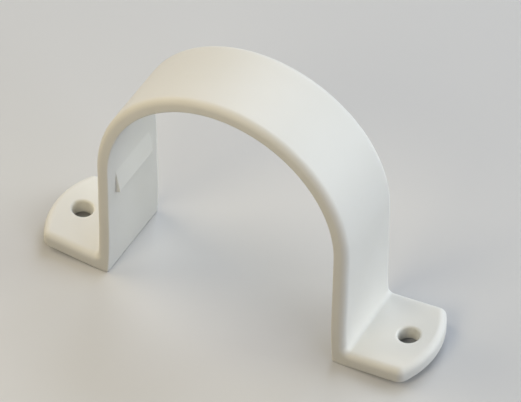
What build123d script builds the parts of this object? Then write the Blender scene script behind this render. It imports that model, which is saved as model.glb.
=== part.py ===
"""Two-hole pipe strap, moulded in one piece of white plastic. Millimetres, +Z up.

The frame's origin is on the mounting plane, midway between the screw holes. X runs from one foot to the
other, and the pipe runs along Y. The feet stand a little off the mounting plane at their outer ends, and
lie flat once the screws draw the strap down on its pipe.
"""
from build123d import *
from math import acos, atan2, cos, hypot, radians, sin, tan
import os

# The pipe that the strap holds
pipe_diameter = 50.8
pipe_clearance = 0.1
pipe_axis_height = 28.0

# The band, an arch on two legs, and its sides' draft from the mounting plane upwards
wall = 3.0
band_width = 20.8
side_draft = 1.0

# The legs turn outwards from this height down, and the feet stand square to their ends
toe_height = 12.0
toe_angle = 5.2

# The feet, from the leg's inner face, with a flat under each leg and a round end
foot_thickness = 3.3
foot_length = 18.4
end_bulge = 3.1
seat_width = 2.0

# The screw holes, placed from the pipe's seat
screw_hole_diameter = 4.5
screw_offset = 12.5

# The wedge pads that close in under the pipe, measured down from its axis
pad_start = 1.8
pad_height = 5.6
pad_width = 13.6
pad_edge_radius = 0.5

# Edges
edge_radius = 1.5
corner_ease = 0.5
root_radius = 1.0
heel_radius = 0.5
inner_edge_break = 0.3
hole_edge_break = 0.5

# Worked out from the sizes above
cradle_radius = pipe_diameter / 2 + pipe_clearance
outer_radius = cradle_radius + wall
total_height = pipe_axis_height + outer_radius
toe = radians(toe_angle)
toe_radius = toe_height / sin(toe)
toe_centre_x = cradle_radius + toe_radius
heel_x = toe_centre_x - toe_radius * cos(toe)
tip_x = heel_x + foot_length
screw_x = cradle_radius + screw_offset
corner_radius = edge_radius + corner_ease
beyond = wall


def toe_point(radius: float, angle: float) -> tuple[float, float]:
    """A point of the leg's outward turn, at this radius and angle, in the side view."""
    return toe_centre_x - radius * cos(angle), toe_height - radius * sin(angle)


def flip(point: tuple[float, float]) -> tuple[float, float]:
    """The same point on the left half of the side view."""
    return -point[0], point[1]


def band_profile() -> Sketch:
    """The side view of the band: the arch, its straight legs and their outward turn, one wall thick."""
    skins = []
    for arch_radius, turn_radius in ((cradle_radius, toe_radius), (outer_radius, toe_radius - wall)):
        spring = (arch_radius, pipe_axis_height)
        crown = (0, pipe_axis_height + arch_radius)
        turn_start = (arch_radius, toe_height)
        turn_middle = toe_point(turn_radius, toe / 2)
        turn_end = toe_point(turn_radius, toe)
        skins.append(
            [
                ThreePointArc(flip(turn_end), flip(turn_middle), flip(turn_start)),
                Line(flip(turn_start), flip(spring)),
                ThreePointArc(flip(spring), crown, spring),
                Line(spring, turn_start),
                ThreePointArc(turn_start, turn_middle, turn_end),
            ]
        )
    inner_end = toe_point(toe_radius, toe)
    outer_end = toe_point(toe_radius - wall, toe)
    ends = [Line(inner_end, outer_end), Line(flip(inner_end), flip(outer_end))]
    return Sketch() + make_face(Curve() + skins[0] + skins[1] + ends)


def foot_profile() -> Sketch:
    """The side view of the right foot, drawn past its tip, with the flat that stands on the wall."""
    run = foot_length - seat_width + beyond
    rise = run * tan(toe)
    seat_end = (heel_x + seat_width, 0)
    lift = Vector(-sin(toe), cos(toe)) * foot_thickness
    top_root = (heel_x + wall / 2, lift.Y + (wall / 2 - seat_width - lift.X) * tan(toe))
    far_bottom = (seat_end[0] + run, rise)
    far_top = (far_bottom[0], top_root[1] + (far_bottom[0] - top_root[0]) * tan(toe))
    heel = (heel_x, 0)
    heel_top = toe_point(toe_radius, toe - wall / toe_radius)
    return Sketch() + make_face(Polyline(heel, seat_end, far_bottom, far_top, top_root, heel_top, close=True))


def side_slab() -> Part:
    """The whole side view as a slab, wider than the band, with rounded roots where the feet leave the legs."""
    foot = foot_profile()
    profile = band_profile() + foot + mirror(foot, about=Plane.YZ)
    slab = extrude(Plane.XZ * profile, amount=band_width, both=True)
    across = slab.edges().filter_by(Axis.Y)
    roots = across.filter_by(lambda edge: is_root(edge.center()))
    return fillet(roots, root_radius)


def is_root(point: Vector) -> bool:
    """Whether a point lies where a foot's top meets its leg's outside."""
    past_leg = abs(point.X) - heel_x - wall
    return abs(past_leg) < wall / 2 and abs(point.Z - foot_thickness) < foot_thickness / 2


def is_heel(point: Vector) -> bool:
    """Whether a point lies where a leg's inside meets the mounting plane."""
    return abs(abs(point.X) - heel_x) < heel_radius and abs(point.Z) < heel_radius


def plan_outline() -> Sketch:
    """The outline on the mounting plane: straight sides, bowed ends and rounded corners."""
    half = band_width / 2
    corner_x = tip_x - end_bulge
    right_end = ThreePointArc((corner_x, -half), (tip_x, 0), (corner_x, half))
    left_end = ThreePointArc((-corner_x, half), (-tip_x, 0), (-corner_x, -half))
    sides = [Line((corner_x, half), (-corner_x, half)), Line((-corner_x, -half), (corner_x, -half))]
    outline = Sketch() + make_face(Curve() + [right_end, left_end] + sides)
    return fillet(outline.vertices(), corner_radius)


def outward(face: Face) -> float:
    """How far a face of the band is turned away from the strap's middle, from -1 to 1."""
    return face.normal_at().X * (1 if face.center().X > 0 else -1)


def is_outer(face: Face) -> bool:
    """Whether a face belongs to the band's outer skin: the arch, the legs' outsides and the feet's tops."""
    leg_side = outward(face) > 0.5 and abs(face.center().X) < screw_x
    return leg_side or face.normal_at().Z > 0.5


def is_inner(face: Face) -> bool:
    """Whether a face belongs to the band's inner skin: the arch's inside and the legs' insides."""
    under_arch = face.normal_at().Z < -0.5 and face.center().Z > pipe_axis_height
    return under_arch or outward(face) < -0.5


def long_edges(faces: ShapeList) -> ShapeList:
    """The edges where these faces meet the band's sides and the feet's ends, and not each other."""
    edges = ShapeList(edge for face in faces for edge in face.edges())
    return ShapeList(edge for edge in edges if sum(edge.is_same(other) for other in edges) == 1)


def rounded_band() -> Part:
    """The drafted band with its outer edges well rounded, its inner edges just broken and its heels eased."""
    envelope = extrude(plan_outline(), amount=total_height + beyond, taper=side_draft)
    band = side_slab() & envelope
    band = fillet(long_edges(band.faces().filter_by(is_outer)), edge_radius)
    inner = long_edges(band.faces().filter_by(is_inner))
    sides = inner.filter_by(lambda edge: abs(edge.center().Y) > edge_radius)
    band = chamfer(sides, inner_edge_break)
    heels = band.edges().filter_by(Axis.Y).filter_by(lambda edge: is_heel(edge.center()))
    return fillet(heels, heel_radius)


def pad() -> Part:
    """The right leg's wedge pad: flush at its top, it leans in to touch the pipe and ends in a rounded ledge."""
    top = (cradle_radius, pipe_axis_height - pad_start)
    lean = atan2(pad_start, cradle_radius) + acos(pipe_diameter / 2 / hypot(cradle_radius, pad_start))
    ledge = (cradle_radius - pad_height * tan(lean), top[1] - pad_height)
    root_x = cradle_radius + wall / 2
    outline = Sketch() + make_face(Polyline(top, ledge, (root_x, ledge[1]), (root_x, top[1]), close=True))
    outline = fillet(outline.vertices().sort_by(Axis.X)[0], pad_edge_radius)
    return extrude(Plane.XZ * outline, amount=pad_width / 2, both=True)


def screw_hole() -> Part:
    """The tool that drills the right foot's screw hole, square to the mounting plane."""
    depth = tip_x * tan(toe) + foot_thickness + beyond
    return Pos(screw_x, 0, 0) * Cylinder(screw_hole_diameter / 2, 2 * depth)


def is_hole_rim(edge: Edge) -> bool:
    """Whether an edge is the upper rim of a screw hole."""
    centre = edge.center(CenterOf.BOUNDING_BOX)
    over_hole = abs(abs(centre.X) - screw_x) < edge_radius and abs(centre.Y) < edge_radius
    return over_hole and centre.Z > foot_thickness


def strap() -> Part:
    """The finished strap."""
    body = rounded_band()
    for tool in (pad(), mirror(pad(), about=Plane.YZ)):
        body += tool
    for tool in (screw_hole(), mirror(screw_hole(), about=Plane.YZ)):
        body -= tool
    return chamfer(body.edges().filter_by(is_hole_rim), hole_edge_break)


os.makedirs("parts", exist_ok=True)
export_step(strap(), "parts/pipe_strap.step")
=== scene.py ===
"""Dresses the moulded pipe strap and sets up its studio, in metres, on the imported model's frame."""

import logging
from dataclasses import dataclass
from enum import Enum
from math import acos, asin, atan2, cos, hypot, pi, radians, sin, sqrt, tan

import bmesh
import bpy
import numpy as np
from mathutils import Matrix, Vector


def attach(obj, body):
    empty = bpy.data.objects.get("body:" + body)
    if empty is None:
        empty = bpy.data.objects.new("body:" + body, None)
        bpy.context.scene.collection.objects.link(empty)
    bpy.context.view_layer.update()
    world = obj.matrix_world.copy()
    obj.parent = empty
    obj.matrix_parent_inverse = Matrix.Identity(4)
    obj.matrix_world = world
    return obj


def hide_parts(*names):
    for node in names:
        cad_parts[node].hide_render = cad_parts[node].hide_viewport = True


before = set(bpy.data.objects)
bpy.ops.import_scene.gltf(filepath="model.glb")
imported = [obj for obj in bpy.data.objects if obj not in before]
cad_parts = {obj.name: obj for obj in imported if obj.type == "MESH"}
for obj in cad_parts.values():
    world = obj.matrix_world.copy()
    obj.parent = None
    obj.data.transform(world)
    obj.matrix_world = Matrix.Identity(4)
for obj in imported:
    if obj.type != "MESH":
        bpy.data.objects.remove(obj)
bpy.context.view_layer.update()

log = logging.getLogger("pipe_strap")

MM = 0.001
IMAGE_WIDTH = 521
Colour = tuple[float, float, float]


class Value:
    """A number that changes over a surface. Sums and products of values add Math nodes."""

    def __init__(self, graph: "Graph", socket: bpy.types.NodeSocket) -> None:
        """Wraps an output socket of the graph."""
        self.graph = graph
        self.socket = socket

    def _maths(self, operation: str, first: "Value | float", second: "Value | float") -> "Value":
        """Adds one Math node.

        Args:
            operation: the Math node's operation.
            first: its upper input.
            second: its lower input.

        Returns:
            The node's result.
        """
        node = self.graph.node("ShaderNodeMath", {"operation": operation}, {0: first, 1: second})
        return Value(self.graph, node.outputs[0])

    def __add__(self, other: "Value | float") -> "Value":
        """This value plus another."""
        return self._maths("ADD", self, other)

    def __radd__(self, other: float) -> "Value":
        """A number plus this value."""
        return self._maths("ADD", other, self)

    def __sub__(self, other: "Value | float") -> "Value":
        """This value less another."""
        return self._maths("SUBTRACT", self, other)

    def __mul__(self, other: "Value | float") -> "Value":
        """This value times another."""
        return self._maths("MULTIPLY", self, other)

    def __rmul__(self, other: float) -> "Value":
        """A number times this value."""
        return self._maths("MULTIPLY", other, self)


class Graph:
    """The nodes of one material or of the world, with helpers that add and link them."""

    def __init__(self, owner: bpy.types.Material | bpy.types.World) -> None:
        """Empties the owner's node tree and keeps it."""
        owner.use_nodes = True
        self.tree = owner.node_tree
        self.tree.nodes.clear()

    def node(
        self, kind: str, settings: dict[str, object], sockets: dict[str | int, object]
    ) -> bpy.types.Node:
        """Adds any node.

        Args:
            kind: the node's Blender type.
            settings: its properties, which are set first.
            sockets: values or links of its inputs, by name or number.

        Returns:
            The new node.
        """
        made = self.tree.nodes.new(kind)
        for name, setting in settings.items():
            setattr(made, name, setting)
        for name, given in sockets.items():
            source = given.socket if isinstance(given, Value) else given
            if isinstance(source, bpy.types.NodeSocket):
                self.tree.links.new(source, made.inputs[name])
            else:
                made.inputs[name].default_value = source
        return made

    def noise(self, place: bpy.types.NodeSocket, grain: float, detail: float) -> Value:
        """Soft random spots.

        Args:
            place: the coordinates that it reads.
            grain: the spots' size in metres.
            detail: how many finer layers it adds.

        Returns:
            A value about 0.5, from 0 to 1.
        """
        sockets = {"Vector": place, "Scale": 1.0 / grain, "Detail": detail, "Roughness": 0.5}
        return Value(self, self.node("ShaderNodeTexNoise", {}, sockets).outputs[0])

    def seen(self) -> Value:
        """One for rays from the camera and for reflected or transmitted ones, and nothing for others."""
        path = self.node("ShaderNodeLightPath", {}, {})
        rays = ("Is Camera Ray", "Is Glossy Ray", "Is Transmission Ray")
        camera, glossy, through = (Value(self, path.outputs[name]) for name in rays)
        return camera + glossy + through

    def blend(
        self, factor: Value, first: Colour | bpy.types.NodeSocket, second: Colour | bpy.types.NodeSocket
    ) -> bpy.types.NodeSocket:
        """Mixes two colours, each given as numbers or as a socket.

        Args:
            factor: how much of the second colour shows.
            first: the colour at a factor of 0.
            second: the colour at a factor of 1.

        Returns:
            The mixed colour's socket.
        """
        first, second = ((*c, 1.0) if isinstance(c, tuple) else c for c in (first, second))
        mixed = self.node("ShaderNodeMix", {"data_type": "RGBA"}, {0: factor, 6: first, 7: second})
        return mixed.outputs[2]


@dataclass(frozen=True)
class MouldedPlastic:
    """White satin plastic as it leaves the mould: near-even colour, a fine grain and slight waviness."""

    name: str = "white_moulded_plastic"
    pale: Colour = (0.800, 0.790, 0.745)
    deep: Colour = (0.765, 0.752, 0.700)
    cloud_size: float = 14.0 * MM
    roughness: float = 0.52
    roughness_spread: float = 0.12
    sheen_patch: float = 4.0 * MM
    grain_size: float = 0.35 * MM
    grain_height: float = 0.004 * MM
    ripple_size: float = 5.0 * MM
    ripple_height: float = 0.020 * MM
    refraction: float = 1.48
    scatter: float = 0.7
    scatter_depth: float = 0.45 * MM

    def material(self) -> bpy.types.Material:
        """Builds the material.

        Colour drifts between two near whites in soft clouds. Roughness drifts in smaller patches. The bump
        is a fine grain plus a broad ripple, both with heights in metres. Light scatters a little way below
        the surface, which softens small edges.

        Returns:
            The finished material.
        """
        made = bpy.data.materials.new(self.name)
        graph = Graph(made)
        place = graph.node("ShaderNodeTexCoord", {}, {}).outputs["Object"]
        clouds = graph.noise(place, self.cloud_size, 3.0)
        patches = graph.noise(place, self.sheen_patch, 2.0)
        grain = graph.noise(place, self.grain_size, 2.0)
        ripple = graph.noise(place, self.ripple_size, 1.0)
        height = self.grain_height * grain + self.ripple_height * ripple
        bump = graph.node("ShaderNodeBump", {}, {"Strength": 1.0, "Distance": 1.0, "Height": height})
        sockets = {
            "Base Color": graph.blend(clouds, self.deep, self.pale),
            "Roughness": self.roughness + self.roughness_spread * (patches - 0.5),
            "IOR": self.refraction,
            "Subsurface Weight": self.scatter,
            "Subsurface Radius": (1.0, 1.0, 1.0),
            "Subsurface Scale": self.scatter_depth,
            "Normal": bump.outputs[0],
        }
        shader = graph.node("ShaderNodeBsdfPrincipled", {}, sockets)
        graph.node("ShaderNodeOutputMaterial", {}, {"Surface": shader.outputs[0]})
        return made


@dataclass(frozen=True)
class PaleFloor:
    """The matt paper that the strap stands on, which fades into the backdrop well away from it."""

    name: str = "pale_paper"
    light: Colour = (0.67, 0.67, 0.67)
    shade: Colour = (0.655, 0.655, 0.655)
    bounce: Colour = (0.12, 0.12, 0.12)
    mottle_size: float = 60.0 * MM
    roughness: float = 0.9
    gloss: float = 0.1
    fade_start: float = 0.35
    fade_end: float = 0.90

    def material(self, backdrop: Colour) -> bpy.types.Material:
        """Builds the paper: two close greys in wide soft spots, with hardly any gloss.

        The camera and reflections see the pale paper. Light that bounces off it sees a darker one, so that
        the strap's sides keep their shade. The fade to the backdrop rises smoothly with the distance from
        the strap.

        Args:
            backdrop: the colour that it fades to.

        Returns:
            The finished material.
        """
        made = bpy.data.materials.new(self.name)
        graph = Graph(made)
        place = graph.node("ShaderNodeTexCoord", {}, {}).outputs["Object"]
        mottle = graph.noise(place, self.mottle_size, 2.0)
        paper = graph.blend(mottle, self.shade, self.light)
        seen = graph.seen()
        sockets = {
            "Base Color": graph.blend(seen, self.bounce, paper),
            "Roughness": self.roughness,
            "Specular IOR Level": self.gloss,
        }
        matt = graph.node("ShaderNodeBsdfPrincipled", {}, sockets)
        glow = graph.node("ShaderNodeEmission", {}, {"Color": (*backdrop, 1.0), "Strength": 1.0})
        reach = graph.node("ShaderNodeVectorMath", {"operation": "LENGTH"}, {0: place}).outputs["Value"]
        limits = {"Value": reach, "From Min": self.fade_start, "From Max": self.fade_end}
        rise = graph.node("ShaderNodeMapRange", {"interpolation_type": "SMOOTHSTEP"}, limits)
        fade = seen * Value(graph, rise.outputs[0])
        mixed = graph.node("ShaderNodeMixShader", {}, {0: fade, 1: matt.outputs[0], 2: glow.outputs[0]})
        graph.node("ShaderNodeOutputMaterial", {}, {"Surface": mixed.outputs[0]})
        made.cycles.emission_sampling = "NONE"
        return made


class Foot(Enum):
    """The two feet, by the side of the strap that they stand on."""

    LEFT = -1
    RIGHT = 1


@dataclass(frozen=True)
class StrapSizes:
    """The strap's sizes in metres and radians, as its solid has them."""

    seat_radius: float = 25.5 * MM
    pipe_radius: float = 25.4 * MM
    axis_height: float = 28.0 * MM
    wall: float = 3.0 * MM
    band_width: float = 20.8 * MM
    draft: float = radians(1.0)
    toe_height: float = 12.0 * MM
    toe: float = radians(5.2)
    foot_thickness: float = 3.3 * MM
    foot_length: float = 18.4 * MM
    end_bulge: float = 3.1 * MM
    corner_radius: float = 2.0 * MM
    flat_width: float = 2.0 * MM
    screw_offset: float = 12.5 * MM
    hole_radius: float = 2.25 * MM
    hole_break: float = 0.5 * MM
    pad_start: float = 1.8 * MM
    pad_height: float = 5.6 * MM
    pad_width: float = 13.6 * MM
    pad_edge_radius: float = 0.5 * MM
    edge_radius: float = 1.5 * MM
    root_radius: float = 1.0 * MM
    inner_break: float = 0.2 * MM
    heel_radius: float = 0.5 * MM
    pad_ease: float = 0.16 * MM
    hole_patch: float = 3.5 * MM

    @property
    def half_width(self) -> float:
        """Half the band's width on the mounting plane."""
        return self.band_width / 2

    @property
    def outer_radius(self) -> float:
        """Radius of the arch's outside."""
        return self.seat_radius + self.wall

    @property
    def turn_radius(self) -> float:
        """Radius of the leg's outward turn, on its inner face."""
        return self.toe_height / sin(self.toe)

    @property
    def turn_centre(self) -> np.ndarray:
        """Centre of the leg's outward turn, in the side view."""
        return np.array([self.seat_radius + self.turn_radius, self.toe_height])

    @property
    def heel_x(self) -> float:
        """Where the leg's inner face meets the mounting plane."""
        return self.turn_centre[0] - self.turn_radius * cos(self.toe)

    @property
    def flat_end(self) -> np.ndarray:
        """Where the flat under the leg ends and the foot's underside starts to rise."""
        return np.array([self.heel_x + self.flat_width, 0.0])

    @property
    def tip_x(self) -> float:
        """The foot's furthest reach."""
        return self.heel_x + self.foot_length

    @property
    def screw_x(self) -> float:
        """Distance of a screw hole from the strap's middle."""
        return self.seat_radius + self.screw_offset

    @property
    def pad_lean(self) -> float:
        """Lean of the pad's face that touches the pipe: the angle down to its top, then on to the touch."""
        touch = acos(self.pipe_radius / hypot(self.seat_radius, self.pad_start))
        return atan2(self.pad_start, self.seat_radius) + touch

    def foot_bottom(self, x: np.ndarray) -> np.ndarray:
        """Height of the foot's underside: a line that rises from the end of the flat at the toe angle."""
        return (x - self.flat_end[0]) * tan(self.toe)

    def foot_top(self, x: np.ndarray) -> np.ndarray:
        """Height of the foot's top: the underside's line, one foot thickness off it."""
        return self.foot_bottom(x) + self.foot_thickness / cos(self.toe)


@dataclass(frozen=True)
class EdgeRun:
    """A stretch of the near side's two sharp edges, before they are rounded.

    Each array has a row for a station. Side-view arrays hold X and Z, plan arrays hold X and Y.
    """

    outer: np.ndarray
    inner: np.ndarray
    outer_normal: np.ndarray
    inner_normal: np.ndarray
    edge_y: np.ndarray
    side: np.ndarray

    def after(self) -> "EdgeRun":
        """This run without its first station, to follow on from another run."""
        return EdgeRun(*(part[1:] for part in vars(self).values()))

    @staticmethod
    def joined(runs: list["EdgeRun"]) -> "EdgeRun":
        """Several runs end to end."""
        return EdgeRun(*(np.concatenate(parts) for parts in zip(*(vars(run).values() for run in runs))))


def turned(angle: np.ndarray) -> np.ndarray:
    """Unit vectors at these angles from the first axis."""
    return np.stack([np.cos(angle), np.sin(angle)], axis=-1)


def eased(step: np.ndarray) -> np.ndarray:
    """A smooth rise from 0 to 1: three times the square less twice the cube of the clamped step."""
    held = np.clip(step, 0.0, 1.0)
    return held * held * (3.0 - 2.0 * held)


def rolled(
    edge: np.ndarray, first: np.ndarray, second: np.ndarray, radius: float, count: int
) -> np.ndarray:
    """Rounds a sharp edge between two faces with a ball that touches both.

    The ball's centre lies back from the edge along both normals, by the radius over one plus their cosine.
    The rounding is the centre plus the radius times a unit vector that turns from one normal to the other.

    Args:
        edge: the edge's points.
        first: unit normals of the face that the rounding starts on.
        second: unit normals of the face that it ends on.
        radius: the ball's radius.
        count: points across the rounding.

    Returns:
        An array of stations by points by X, Y and Z.
    """
    cosine = np.sum(first * second, axis=1, keepdims=True)
    centre = edge - radius / (1.0 + cosine) * (first + second)
    angle = np.arccos(cosine)[:, None, :]
    step = np.linspace(0.0, 1.0, count)[None, :, None]
    turn = np.sin((1.0 - step) * angle) * first[:, None, :] + np.sin(step * angle) * second[:, None, :]
    return centre[:, None, :] + radius * turn / np.sin(angle)


@dataclass(frozen=True)
class MeshSteps:
    """How many steps or points each stretch of the strap's mesh has, and the shares of the hole's rings."""

    arch: int = 60
    above_pad: int = 4
    pad_face: int = 14
    pad_edge: int = 9
    below_ledge: int = 6
    lower_leg: int = 11
    turn: int = 14
    root_leg: int = 8
    heel: int = 7
    flat: int = 5
    rise: int = 5
    foot_side: int = 6
    foot_patch: int = 8
    corner: int = 10
    bow: int = 18
    round_points: int = 11
    wall_points: int = 6
    break_points: int = 4
    outer_flank: int = 6
    inner_flank: int = 4
    pad_end: int = 8
    inner_middle: int = 5
    patch: int = 10
    hole_lip: int = 6
    hole_spread: tuple[float, ...] = (0.3, 0.65)
    hole_shaft: tuple[float, ...] = (0.2, 0.4, 0.6, 0.8)
    hole_under: tuple[float, ...] = (0.0, 0.4, 0.7)


@dataclass
class PipeStrap:
    """The strap: one moulding with an arch, two legs, two screw feet and two inner pads."""

    sizes: StrapSizes = StrapSizes()
    steps: MeshSteps = MeshSteps()
    finish: MouldedPlastic = MouldedPlastic()
    name: str = "strap_moulding"
    weld: float = 0.008 * MM
    crease: float = radians(50.0)

    def straight_run(
        self, outer: np.ndarray, inner: np.ndarray, outer_normal: np.ndarray, inner_normal: np.ndarray
    ) -> EdgeRun:
        """A run along the straight side of the plan, whose side wall faces -Y."""
        count = len(outer)
        edge_y = np.full(count, -self.sizes.half_width)
        side = np.tile([0.0, -1.0], (count, 1))
        return EdgeRun(outer, inner, outer_normal, inner_normal, edge_y, side)

    def arch_run(self) -> EdgeRun:
        """The right half of the arch: two circles about the pipe's axis, from crown to spring line."""
        size = self.sizes
        ray = turned(np.linspace(pi / 2, 0.0, self.steps.arch + 1))
        axis = np.array([0.0, size.axis_height])
        return self.straight_run(axis + size.outer_radius * ray, axis + size.seat_radius * ray, ray, -ray)

    def leg_run(self) -> EdgeRun:
        """The straight leg: two upright lines, with stations crowded at the pad's rounded ledge."""
        size, steps = self.sizes, self.steps
        top = size.axis_height - size.pad_start
        ledge = top - size.pad_height
        face_end = ledge + size.pad_edge_radius * (1.0 + sin(size.pad_lean))
        turn = np.linspace(size.pad_lean, -pi / 2, steps.pad_edge, endpoint=False)
        height = np.concatenate(
            [
                np.linspace(size.axis_height, top, steps.above_pad, endpoint=False),
                np.linspace(top, face_end, steps.pad_face, endpoint=False),
                ledge + size.pad_edge_radius * (1.0 + np.sin(turn)),
                np.linspace(ledge, ledge - size.pad_ease, steps.below_ledge, endpoint=False),
                np.linspace(ledge - size.pad_ease, size.toe_height, steps.lower_leg + 1),
            ]
        )
        out = np.tile([1.0, 0.0], (len(height), 1))
        outer = np.stack([np.full(len(height), size.outer_radius), height], axis=-1)
        inner = np.stack([np.full(len(height), size.seat_radius), height], axis=-1)
        return self.straight_run(outer, inner, out, -out)

    def root_centre(self) -> np.ndarray:
        """Centre of the rounded root in the side view.

        It is one root radius above the foot's top line and one root radius outside the leg's turn, so it is
        where that offset line meets the circle about the turn's centre.

        Returns:
            X and Z of the centre.
        """
        size = self.sizes
        along = np.array([cos(size.toe), sin(size.toe)])
        above = np.array([-sin(size.toe), cos(size.toe)])
        start = size.flat_end + above * (size.foot_thickness + size.root_radius)
        reach = start - size.turn_centre
        radius = size.turn_radius - size.wall - size.root_radius
        middle = -along @ reach
        return start + along * (middle - sqrt(middle**2 - (reach @ reach - radius**2)))

    def turn_run(self) -> EdgeRun:
        """The leg's outward turn, down to its rounded root: two arcs about the turn's centre."""
        size = self.sizes
        centre = size.turn_centre
        back = centre - self.root_centre()
        ray = turned(np.linspace(0.0, atan2(back[1], back[0]), self.steps.turn + 1))
        return self.straight_run(
            centre - (size.turn_radius - size.wall) * ray, centre - size.turn_radius * ray, ray, -ray
        )

    def root_run(self) -> EdgeRun:
        """The root: a hollow arc outside, and inside the rest of the turn, the heel, the flat and the rise.

        The heel is an arc that touches the turn and the mounting plane. The outer arc's angle grows evenly
        from station to station.

        Returns:
            The run from the end of the turn to the start of the foot's top.
        """
        size, steps = self.sizes, self.steps
        centre = size.turn_centre
        hollow = self.root_centre()
        back = centre - hollow
        start = atan2(back[1], back[0])
        heel_angle = asin((centre[1] - size.heel_radius) / (size.turn_radius - size.heel_radius))
        heel_back = np.array([cos(heel_angle), sin(heel_angle)])
        heel = centre - (size.turn_radius - size.heel_radius) * heel_back
        above = np.array([-sin(size.toe), cos(size.toe)])
        end_x = (hollow - size.root_radius * above)[0]
        leg_ray = turned(np.linspace(start, heel_angle, steps.root_leg, endpoint=False))
        heel_ray = turned(np.linspace(pi + heel_angle, 1.5 * pi, steps.heel + 1))
        flat_x = np.linspace(heel[0], size.flat_end[0], steps.flat + 1)[1:]
        rise_x = np.linspace(size.flat_end[0], end_x, steps.rise + 1)[1:]
        inner = np.concatenate(
            [
                centre - size.turn_radius * leg_ray,
                heel + size.heel_radius * heel_ray,
                np.stack([flat_x, np.zeros(len(flat_x))], axis=-1),
                np.stack([rise_x, size.foot_bottom(rise_x)], axis=-1),
            ]
        )
        down = np.tile([0.0, -1.0], (len(flat_x), 1))
        inner_normal = np.concatenate([-leg_ray, heel_ray, down, np.tile(-above, (len(rise_x), 1))])
        outward = turned(np.linspace(start, pi / 2 + size.toe, len(inner)))
        return self.straight_run(hollow - size.root_radius * outward, inner, outward, inner_normal)

    def foot_run(self) -> EdgeRun:
        """The foot, from its root round its corner to the middle of its bowed end.

        In plan the edge is a straight side, a corner circle that touches the side and the end, and the
        end's circle, which bows out by the bulge over half the band's width.

        Returns:
            The run from the start of the foot's top to the tip.
        """
        size, steps = self.sizes, self.steps
        half = size.half_width
        bow = (half**2 + size.end_bulge**2) / (2.0 * size.end_bulge)
        bow_x = size.tip_x - bow
        corner_y = half - size.corner_radius
        corner_x = bow_x + sqrt((bow - size.corner_radius) ** 2 - corner_y**2)
        meet = atan2(-corner_y, corner_x - bow_x)
        above = np.array([-sin(size.toe), cos(size.toe)])
        root_x = (self.root_centre() - size.root_radius * above)[0]
        patch_x = size.screw_x - size.hole_patch
        before_patch = np.linspace(root_x, patch_x, steps.foot_side, endpoint=False)
        beside_patch = np.linspace(patch_x, corner_x, steps.foot_patch, endpoint=False)
        side_x = np.concatenate([before_patch, beside_patch])
        corner_ray = turned(np.linspace(-pi / 2, meet, steps.corner, endpoint=False))
        bow_ray = turned(np.linspace(meet, 0.0, steps.bow + 1))
        plan = np.concatenate(
            [
                np.stack([side_x, np.full(len(side_x), -half)], axis=-1),
                np.array([corner_x, -corner_y]) + size.corner_radius * corner_ray,
                np.array([bow_x, 0.0]) + bow * bow_ray,
            ]
        )
        side = np.concatenate([np.tile([0.0, -1.0], (len(side_x), 1)), corner_ray, bow_ray])
        outer = np.stack([plan[:, 0], size.foot_top(plan[:, 0])], axis=-1)
        inner = np.stack([plan[:, 0], size.foot_bottom(plan[:, 0])], axis=-1)
        upward = np.tile(above, (len(plan), 1))
        return EdgeRun(outer, inner, upward, -upward, plan[:, 1], side)

    def near_side(self, run: EdgeRun) -> np.ndarray:
        """The near side's curve at each station, from the outer skin round to the inner skin.

        Each sharp edge is set in by its height times the draft's tangent, and is then rounded. Between the
        two roundings the side wall is straight.

        Args:
            run: the sharp edges of the right half.

        Returns:
            An array of stations by points by X, Y and Z.
        """
        size, steps = self.sizes, self.steps
        slope = tan(size.draft)
        count = len(run.edge_y)
        level = np.zeros(count)
        wall_normal = np.stack([run.side[:, 0], run.side[:, 1], np.full(count, slope)], axis=-1)
        wall_normal /= np.linalg.norm(wall_normal, axis=1, keepdims=True)
        rounds = []
        for line, normal in ((run.outer, run.outer_normal), (run.inner, run.inner_normal)):
            inset = slope * line[:, 1:2] * run.side
            edge = np.stack([line[:, 0] - inset[:, 0], run.edge_y - inset[:, 1], line[:, 1]], axis=-1)
            rounds.append((edge, np.stack([normal[:, 0], level, normal[:, 1]], axis=-1)))
        upper = rolled(*rounds[0], wall_normal, size.edge_radius, steps.round_points)
        lower = rolled(rounds[1][0], wall_normal, rounds[1][1], size.inner_break, steps.break_points)
        step = np.linspace(0.0, 1.0, steps.wall_points + 2)[None, 1:-1, None]
        between = upper[:, -1:] + step * (lower[:, :1] - upper[:, -1:])
        return np.concatenate([upper, between, lower], axis=1)

    def outer_rows(self) -> np.ndarray:
        """Places of the outer skin's rows across the band, from -1 at the near edge to 1 at the far one."""
        size, steps = self.sizes, self.steps
        patch = size.hole_patch / (size.half_width - size.edge_radius)
        flank = np.linspace(-1.0, -patch, steps.outer_flank + 1)[1:]
        middle = np.linspace(-patch, patch, steps.patch + 1)[1:-1]
        return np.concatenate([flank, middle, -flank[::-1]])

    def pad_edge(self) -> float:
        """Place of the pad's ends across the inner skin, as a share of its half width there."""
        size = self.sizes
        height = size.axis_height - size.pad_start - size.pad_height / 2
        return size.pad_width / 2 / (size.half_width - size.inner_break - height * tan(size.draft))

    def inner_rows(self) -> np.ndarray:
        """Places of the inner skin's rows, from 1 at the far edge to -1, crowded at the pad's ends."""
        size, steps = self.sizes, self.steps
        patch = size.hole_patch / (size.half_width - size.inner_break)
        ease = size.pad_ease / size.half_width
        end = self.pad_edge()
        flank = np.concatenate(
            [
                np.linspace(1.0, end + ease, steps.inner_flank + 1)[1:-1],
                np.linspace(end + ease, end - ease, steps.pad_end + 1),
                np.linspace(end - ease, patch, steps.inner_middle + 1)[1:],
            ]
        )
        middle = np.linspace(patch, -patch, steps.patch + 1)[1:-1]
        return np.concatenate([flank, middle, -flank[::-1]])

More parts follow.
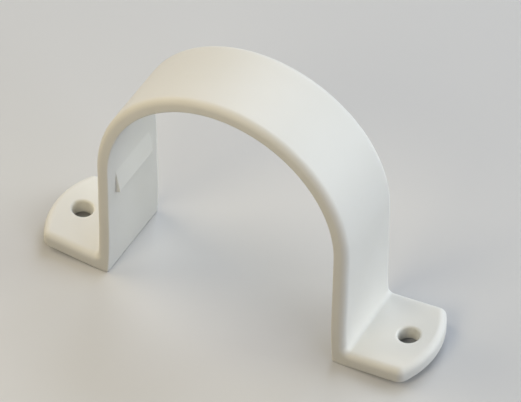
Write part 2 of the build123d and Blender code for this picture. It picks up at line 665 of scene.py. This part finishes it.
    def pad_depth(self, height: np.ndarray, place: np.ndarray) -> np.ndarray:
        """How far the pad stands in from the leg.

        Its flat face starts flush at the pad's top and leans in until it touches the pipe, so the depth is
        the drop below the top times the lean's tangent. Near the ledge it is the lesser of that and an
        arc's depth, which is the arc centre's depth plus the root of the radius squared less the distance
        from the centre's height squared. The depth eases to nothing below the ledge and past the pad's ends.

        Args:
            height: heights above the mounting plane.
            place: places across the inner skin, from -1 to 1.

        Returns:
            The depth at each point.
        """
        size = self.sizes
        top = size.axis_height - size.pad_start
        ledge = top - size.pad_height
        radius = size.pad_edge_radius
        centre_depth = (size.pad_height - radius) * tan(size.pad_lean) - radius / cos(size.pad_lean)
        above = np.clip(height - ledge - radius, -radius, 0.0)
        arc = centre_depth + np.sqrt(radius**2 - above**2)
        flat = np.clip(top - height, 0.0, size.pad_height) * tan(size.pad_lean)
        depth = np.where(height - ledge < radius * (1.0 + sin(size.pad_lean)), np.minimum(arc, flat), flat)
        over = eased((height - ledge) / size.pad_ease + 1.0)
        within = eased((self.pad_edge() - np.abs(place)) * size.half_width / size.pad_ease + 0.5)
        return depth * over * within

    def skin(self) -> np.ndarray:
        """The whole strap as one grid: stations from the left tip to the right, points round the section.

        Each section runs over the outer skin from its near edge, down the far side, back along the inner
        skin and up the near side. The skins are straight across the band, apart from the inner one's pads.

        Returns:
            An array of stations by points by X, Y and Z.
        """
        runs = [self.arch_run(), self.leg_run(), self.turn_run(), self.root_run(), self.foot_run()]
        near = self.near_side(EdgeRun.joined(runs[:1] + [run.after() for run in runs[1:]]))
        far = near * np.array([1.0, -1.0, 1.0])
        outer = near[:, :1] * np.ones((1, len(self.outer_rows()), 1))
        outer[:, :, 1] *= -self.outer_rows()
        rows = self.inner_rows()
        inner = far[:, -1:] * np.ones((1, len(rows), 1))
        inner[:, :, 1] *= rows
        inner[:, :, 0] -= self.pad_depth(inner[:, :, 2], rows[None, :])
        right = np.concatenate([near[:, :1], outer, far, inner, near[:, :0:-1]], axis=1)
        left = right[:0:-1] * np.array([-1.0, 1.0, 1.0])
        return np.concatenate([left, right])

    def patch_loop(self, columns: np.ndarray, rows: np.ndarray, points: int) -> np.ndarray:
        """Numbers of the grid points round a patch, anticlockwise from above.

        Args:
            columns: the patch's stations, from low to high X.
            rows: the patch's section points, from low to high Y.
            points: points in a section.

        Returns:
            The numbers, once round.
        """
        grid = columns[:, None] * points + rows[None, :]
        return np.concatenate([grid[:-1, 0], grid[-1, :-1], grid[:0:-1, -1], grid[0, :0:-1]])

    def hole_rings(self, foot: Foot, top: np.ndarray, bottom: np.ndarray) -> np.ndarray:
        """Rings of points that carry the foot's top through the screw hole to its underside.

        Each ring's points keep their angle about the hole. The rings close in on the rim, round it over a
        quarter circle, go down the wall and open out on the underside.

        Args:
            foot: which foot.
            top: points round the patch on the foot's top.
            bottom: points round the patch on its underside.

        Returns:
            An array of rings by points by X, Y and Z, without the two patch edges.
        """
        size, steps = self.sizes, self.steps
        centre = np.array([foot.value * size.screw_x, 0.0])
        ray = top[:, :2] - centre
        ray = ray / np.linalg.norm(ray, axis=1, keepdims=True)

        def ring(radius: float, sunk: float, low: bool) -> np.ndarray:
            """One ring at this radius, sunk this far below the top, or else on the underside."""
            plan = centre + radius * ray
            reach = np.abs(plan[:, 0])
            height = size.foot_bottom(reach) if low else size.foot_top(reach) - sunk
            return np.concatenate([plan, height[:, None]], axis=1)

        rim = size.hole_radius + size.hole_break
        turn = np.linspace(0.0, pi / 2, steps.hole_lip + 1)
        lip = [ring(rim - size.hole_break * sin(a), size.hole_break * (1.0 - cos(a)), False) for a in turn]
        spread = [top + share * (lip[0] - top) for share in steps.hole_spread]
        foot_edge = ring(size.hole_radius, 0.0, True)
        shaft = [lip[-1] + share * (foot_edge - lip[-1]) for share in steps.hole_shaft]
        under = [foot_edge + share * (bottom - foot_edge) for share in steps.hole_under]
        return np.stack(spread + lip + shaft + under)

    def faces_between(self, rings: np.ndarray) -> np.ndarray:
        """Four-sided faces between closed rings of point numbers, one ring inside the next."""
        onward = np.roll(rings, -1, axis=1)
        return np.stack([rings[:-1], onward[:-1], onward[1:], rings[1:]], axis=-1).reshape(-1, 4)

    def mesh(self) -> bpy.types.Mesh:
        """Puts the grid and the hole rings together.

        Quads join neighbouring stations and points. The patches over and under each hole are left out, and
        rings of quads join their edges through the hole. Points that meet at the tips are merged.

        Returns:
            The closed mesh.
        """
        size, steps = self.sizes, self.steps
        grid = self.skin()
        stations, points = grid.shape[:2]
        side_points = steps.round_points + steps.wall_points + steps.break_points
        inner_start = len(self.outer_rows()) + side_points
        inner_first = inner_start + steps.inner_flank + steps.pad_end + steps.inner_middle
        outer_patch = steps.outer_flank + np.arange(steps.patch + 1)
        inner_patch = inner_first + np.arange(steps.patch + 1)
        section = np.arange(points)
        quads = np.arange(stations - 1)[:, None] * points + section[None, :]
        step = np.roll(section, -1) - section
        faces = np.stack([quads, quads + points, quads + points + step, quads + step], axis=-1)
        kept = np.ones(faces.shape[:2], bool)
        flat = grid.reshape(-1, 3)
        rings_made: list[np.ndarray] = []
        ring_faces: list[np.ndarray] = []
        next_point = len(flat)
        for foot in Foot:
            edge_x = grid[:, 0, 0]
            middle = foot.value * size.screw_x
            first = int(np.argmin(np.abs(edge_x - (middle - size.hole_patch))))
            last = int(np.argmin(np.abs(edge_x - (middle + size.hole_patch))))
            columns = np.arange(first, last + 1)
            for patch in (outer_patch, inner_patch):
                kept[first:last, patch[0] : patch[-1]] = False
            top_loop = self.patch_loop(columns, outer_patch, points)
            bottom_loop = self.patch_loop(columns, inner_patch[::-1], points)
            rings = self.hole_rings(foot, flat[top_loop], flat[bottom_loop])
            numbers = next_point + np.arange(rings.shape[0] * rings.shape[1]).reshape(rings.shape[:2])
            next_point += numbers.size
            rings_made.append(rings.reshape(-1, 3))
            loops = np.concatenate([top_loop[None], numbers, bottom_loop[None]])
            ring_faces.append(self.faces_between(loops))
        all_points = np.concatenate([flat, *rings_made])
        all_faces = np.concatenate([faces[kept], *ring_faces])
        used, numbering = np.unique(all_faces, return_inverse=True)
        made = bpy.data.meshes.new(self.name)
        made.from_pydata(all_points[used].tolist(), [], numbering.reshape(-1, 4).tolist())
        shell = bmesh.new()
        shell.from_mesh(made)
        bmesh.ops.remove_doubles(shell, verts=shell.verts, dist=self.weld)
        bmesh.ops.dissolve_degenerate(shell, edges=shell.edges, dist=self.weld)
        shell.to_mesh(made)
        shell.free()
        made.shade_smooth()
        made.set_sharp_from_angle(angle=self.crease)
        return made

    def build(self) -> bpy.types.Object:
        """Makes the strap's object in place of the plain solid."""
        piece = bpy.data.objects.new(self.name, self.mesh())
        bpy.context.scene.collection.objects.link(piece)
        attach(piece, "root")
        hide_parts("pipe_strap")
        return piece

    def dress(self, piece: bpy.types.Object) -> None:
        """Gives the strap its plastic."""
        piece.data.materials.append(self.finish.material())


@dataclass(frozen=True)
class SoftBox:
    """A square soft lamp that faces the strap."""

    name: str
    azimuth: float
    elevation: float
    distance: float
    width: float
    power: float
    tint: Colour

    def build(self, target: Vector) -> bpy.types.Object:
        """Hangs the lamp round the target, with azimuth 0 in front of the strap and 90 to its right."""
        lamp = bpy.data.lights.new(self.name, "AREA")
        lamp.shape = "SQUARE"
        lamp.size = self.width
        lamp.energy = self.power
        lamp.color = self.tint
        turn, rise = radians(self.azimuth), radians(self.elevation)
        back = Vector((sin(turn) * cos(rise), -cos(turn) * cos(rise), sin(rise)))
        made = bpy.data.objects.new(self.name, lamp)
        made.location = target + back * self.distance
        made.rotation_euler = back.to_track_quat("Z", "Y").to_euler()
        bpy.context.scene.collection.objects.link(made)
        return made


@dataclass(frozen=True)
class PhotoCamera:
    """The camera at the photograph's place, as a turn round a target."""

    azimuth: float = radians(28.10)
    elevation: float = radians(44.24)
    roll: float = radians(0.305)
    distance: float = 679.8 * MM
    target: tuple[float, float, float] = (4.03 * MM, 0.0, 25.87 * MM)
    focal_pixels: float = 3400.0
    sensor: float = 36.0
    nearest: float = 0.01
    furthest: float = 50.0

    def build(self) -> bpy.types.Object:
        """Makes the camera and gives it to the scene.

        Its axes are right, up and back. Back points from the target to the camera, right is level, and the
        roll turns right and up about back.

        Returns:
            The camera's object.
        """
        lens = bpy.data.cameras.new("photo_camera")
        lens.sensor_fit = "HORIZONTAL"
        lens.sensor_width = self.sensor
        lens.lens = self.focal_pixels * self.sensor / IMAGE_WIDTH
        lens.clip_start = self.nearest
        lens.clip_end = self.furthest
        turn, rise = self.azimuth, self.elevation
        back = Vector((sin(turn) * cos(rise), -cos(turn) * cos(rise), sin(rise)))
        level = Vector((cos(turn), sin(turn), 0.0))
        upright = back.cross(level)
        right = cos(self.roll) * level + sin(self.roll) * upright
        up = cos(self.roll) * upright - sin(self.roll) * level
        eye = Vector(self.target) + back * self.distance
        made = bpy.data.objects.new("photo_camera", lens)
        made.matrix_world = Matrix.Translation(eye) @ Matrix((right, up, back)).transposed().to_4x4()
        bpy.context.scene.collection.objects.link(made)
        bpy.context.scene.camera = made
        return made


@dataclass(frozen=True)
class Studio:
    """A pale floor, soft lamps and a faint surrounding light."""

    lamps: tuple[SoftBox, ...] = (
        SoftBox("right_lamp", 75.0, 15.0, 1.2, 0.9, 5.4, (0.80, 0.85, 1.00)),
        SoftBox("right_back_lamp", 125.0, 20.0, 1.2, 0.9, 8.4, (0.95, 1.00, 0.99)),
        SoftBox("back_lamp", 180.0, 42.0, 1.2, 0.9, 8.1, (0.78, 0.86, 1.00)),
        SoftBox("left_lamp", -85.0, 35.0, 1.2, 0.9, 6.9, (1.00, 0.88, 0.67)),
        SoftBox("front_lamp", -10.0, 35.0, 0.28, 0.15, 0.31, (1.00, 0.88, 0.64)),
    )
    floor: PaleFloor = PaleFloor()
    floor_reach: float = 3.0
    floor_gap: float = 0.02 * MM
    surround: Colour = (0.01, 0.01, 0.01)
    backdrop: Colour = (0.72, 0.72, 0.72)
    aim: tuple[float, float, float] = (0.0, 0.0, 25.0 * MM)

    def build_floor(self) -> bpy.types.Object:
        """Lays the floor: one square sheet just under the mounting plane."""
        reach = self.floor_reach
        corners = [(-reach, -reach), (reach, -reach), (reach, reach), (-reach, reach)]
        sheet = bpy.data.meshes.new("floor")
        sheet.from_pydata([(x, y, -self.floor_gap) for x, y in corners], [], [(0, 1, 2, 3)])
        made = bpy.data.objects.new("floor", sheet)
        made.data.materials.append(self.floor.material(self.backdrop))
        bpy.context.scene.collection.objects.link(made)
        return made

    def build_surround(self) -> None:
        """Lights the strap faintly from all round, and shows the camera and reflections a backdrop."""
        world = bpy.data.worlds.new("studio_surround")
        bpy.context.scene.world = world
        graph = Graph(world)
        colour = graph.blend(graph.seen(), self.surround, self.backdrop)
        sky = graph.node("ShaderNodeBackground", {}, {"Color": colour, "Strength": 1.0})
        graph.node("ShaderNodeOutputWorld", {}, {"Surface": sky.outputs[0]})

    def build(self) -> None:
        """Sets up the floor, the lamps, the surround and plain colour handling."""
        self.build_floor()
        for lamp in self.lamps:
            lamp.build(Vector(self.aim))
        self.build_surround()
        bpy.context.scene.view_settings.view_transform = "Standard"


def main() -> None:
    """Builds the strap, then its studio and camera, and logs the strap's point and face counts and the lens.
    """
    logging.basicConfig(level=logging.INFO, format="%(message)s")
    strap = PipeStrap()
    piece = strap.build()
    strap.dress(piece)
    log.info("%s: %d points, %d faces", piece.name, len(piece.data.vertices), len(piece.data.polygons))
    Studio().build()
    camera = PhotoCamera().build()
    log.info("%s: %.1f mm lens", camera.name, camera.data.lens)


if __name__ == "__main__":
    main()
